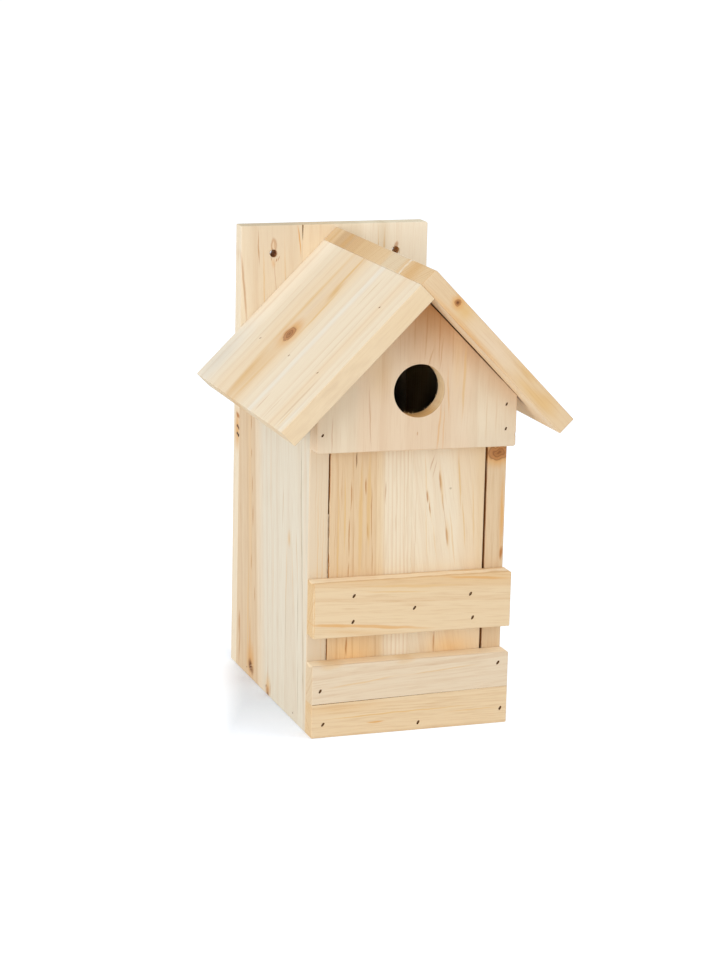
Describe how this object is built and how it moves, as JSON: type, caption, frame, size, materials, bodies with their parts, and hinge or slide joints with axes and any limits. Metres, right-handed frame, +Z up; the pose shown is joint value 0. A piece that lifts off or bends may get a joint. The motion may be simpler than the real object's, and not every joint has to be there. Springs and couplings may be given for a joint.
{
  "type": "bird nest box",
  "caption": "Gabled softwood nest box with a round entrance, lapped pitched roof, tall back panel for wall screws, and a front door that lifts clear of a base cleat for cleaning",
  "frame": {"origin": "on the standing surface, under the middle of the whole box", "axes": "+Z up, the entrance and door face -Y, the back panel that goes against the wall faces +Y, +X to the right seen from the front"},
  "size_m": [0.1816, 0.1924, 0.287],
  "materials": {
    "back_fir": "planed, untreated",
    "pale_fir": "planed, untreated",
    "gable_fir": "planed, untreated",
    "door_left_fir": "planed, untreated",
    "door_right_fir": "planed, untreated",
    "cleat_fir": "planed, untreated",
    "roof_fir": "planed, untreated",
    "brad_steel": "dull, driven flush"
  },
  "bodies": {
    "box": {"back_left_stave": "back_fir", "back_right_stave": "back_fir", "left_side": "pale_fir", "right_side": "pale_fir", "floor": "pale_fir", "gable_front": "gable_fir", "base_cleat_lower_stave": "cleat_fir", "base_cleat_upper_stave": "gable_fir", "roof_left": "roof_fir", "roof_right": "roof_fir", "gable_brads": "brad_steel", "base_cleat_upper_brads": "brad_steel", "base_cleat_lower_brads": "brad_steel", "roof_left_brads": "brad_steel", "roof_right_brads": "brad_steel", "ridge_brads": "brad_steel", "back_brads": "brad_steel", "floor_brads": "brad_steel"},
    "door": {"door_left_stave": "door_left_fir", "door_right_stave": "door_right_fir", "door_cleat": "cleat_fir", "door_cleat_brads": "brad_steel"}
  },
  "joints": [
    {"name": "door_lift", "type": "slide", "parent": "box", "child": "door", "axis": [0, 0, 1], "range_m": [0, 0.034]}
  ]
}
